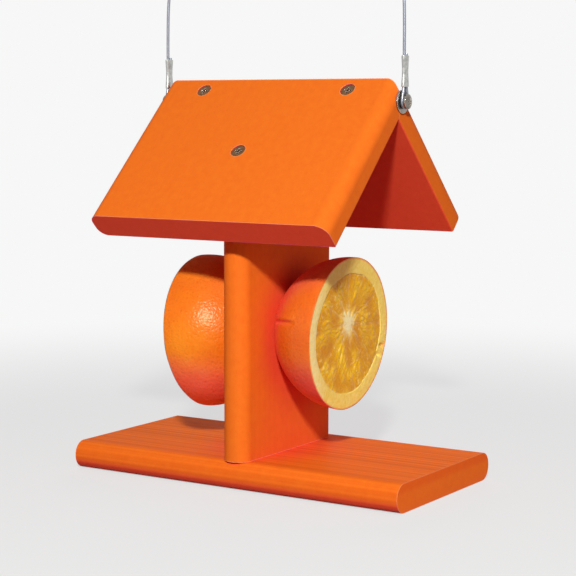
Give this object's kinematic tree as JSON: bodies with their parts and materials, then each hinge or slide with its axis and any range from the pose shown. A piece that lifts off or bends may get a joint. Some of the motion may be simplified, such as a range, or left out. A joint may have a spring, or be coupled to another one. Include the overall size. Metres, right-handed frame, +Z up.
{
  "type": "oriole feeder",
  "caption": "Hanging fruit feeder for orioles: orange halves on a spike through an upright board, under a gable roof, over a base board, with a cable hanger.",
  "frame": {"origin": "middle of the base board's underside, centred under the ridge", "axes": "+X runs along the ridge to the feeder's right, +Y to its back, +Z up"},
  "size_m": [0.2136, 0.1534, 0.3439],
  "materials": {
    "recycled_plastic": "satin moulded recycled plastic board with a fine drawn grain",
    "stainless_steel": "plain steel, slightly dulled outdoors",
    "crimped_aluminium": "bright crimped sleeve",
    "coated_cable": "thin steel cable in clear vinyl",
    "orange_peel": "waxy pebbled orange peel with a pale pith",
    "orange_flesh": "wet orange pulp in segments"
  },
  "bodies": {
    "house": {"base_board": "recycled_plastic", "post_board": "recycled_plastic", "roof_panel_front": "recycled_plastic", "roof_panel_back": "recycled_plastic", "fruit_spike": "stainless_steel", "ridge_screw_left": "stainless_steel", "ridge_screw_right": "stainless_steel", "post_screw_front": "stainless_steel", "post_screw_back": "stainless_steel", "base_screw_front": "stainless_steel", "base_screw_back": "stainless_steel", "hanger_screw_left": "stainless_steel", "hanger_screw_right": "stainless_steel", "hanger_washer_left": "stainless_steel", "hanger_washer_right": "stainless_steel"},
    "hanger": {"hanger_cable": "coated_cable", "hanger_ferrule_left": "crimped_aluminium", "hanger_ferrule_right": "crimped_aluminium"},
    "orange_right": {"orange_right_peel": "orange_peel", "orange_right_flesh": "orange_flesh"},
    "orange_left": {"orange_left_peel": "orange_peel", "orange_left_flesh": "orange_flesh"}
  },
  "joints": [
    {"name": "hanger_swing", "type": "hinge", "parent": "house", "child": "hanger", "pos_m": [0, 0.0024, 0.2127], "axis": [1, 0, 0], "range_deg": [-115, 115]},
    {"name": "orange_right_slide", "type": "slide", "parent": "house", "child": "orange_right", "axis": [1, 0, 0], "range_m": [0, 0.035]},
    {"name": "orange_left_slide", "type": "slide", "parent": "house", "child": "orange_left", "axis": [-1, 0, 0], "range_m": [0, 0.035]}
  ]
}
